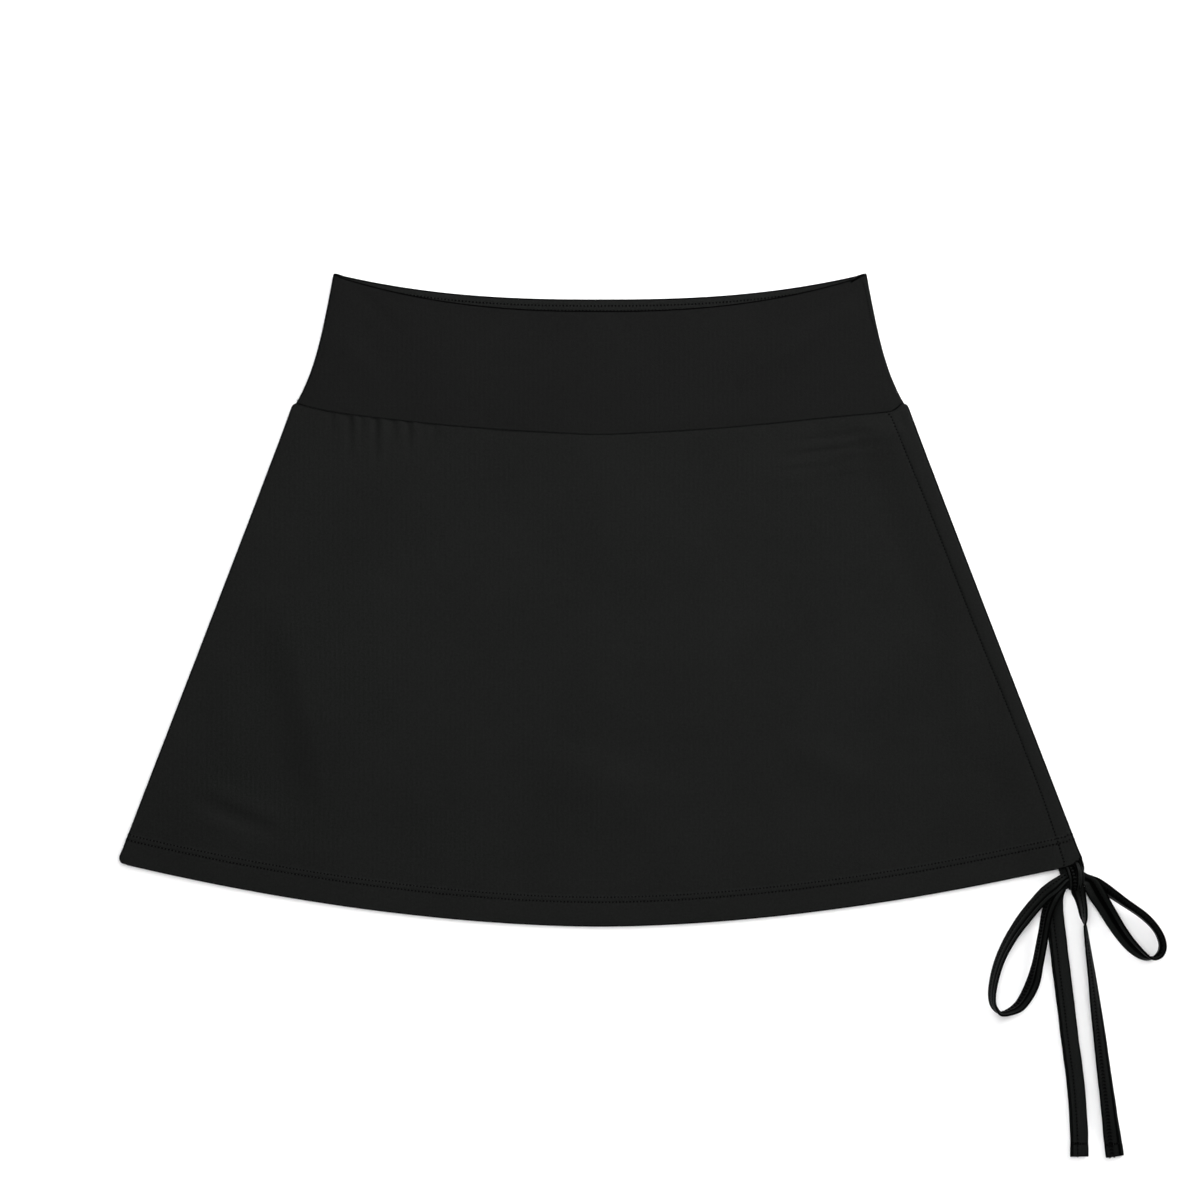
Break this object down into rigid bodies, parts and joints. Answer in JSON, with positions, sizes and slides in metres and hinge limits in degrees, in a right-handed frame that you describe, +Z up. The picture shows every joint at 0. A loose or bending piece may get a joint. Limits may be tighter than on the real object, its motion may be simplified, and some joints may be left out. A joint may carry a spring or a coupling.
{
  "type": "yoga skirt",
  "caption": "A-line mini skirt in stretch jersey laid flat: wide concave yoke waistband, curved stitched hem, side channel with a flat self-fabric drawstring tied in a bow.",
  "frame": {"origin": "under the middle of the garment's outline, on the surface it lies on; the bow and the tails aren't counted", "axes": "+Z up from the surface, +Y from the hem to the waist, +X to the side with the drawstring (the viewer's right, the wearer's left)"},
  "size_m": [0.6482, 0.5486, 0.0118],
  "materials": {
    "skirt_jersey": "matte black polyamide and elastane jersey, brushed smooth",
    "waistband_jersey": "the same jersey, cut double",
    "strap_jersey": "the same jersey folded into a flat strap, with a slight sheen",
    "black_thread": "black polyester sewing thread"
  },
  "bodies": {
    "root": {"waistband_front": "waistband_jersey", "waistband_back": "waistband_jersey", "skirt_front": "skirt_jersey", "skirt_back": "skirt_jersey", "channel_casing": "skirt_jersey", "drawstring_run_front": "strap_jersey", "drawstring_run_back": "strap_jersey", "drawstring_knot": "strap_jersey", "loop_left": "strap_jersey", "loop_right": "strap_jersey", "tail_left": "strap_jersey", "tail_right": "strap_jersey"}
  },
  "joints": []
}
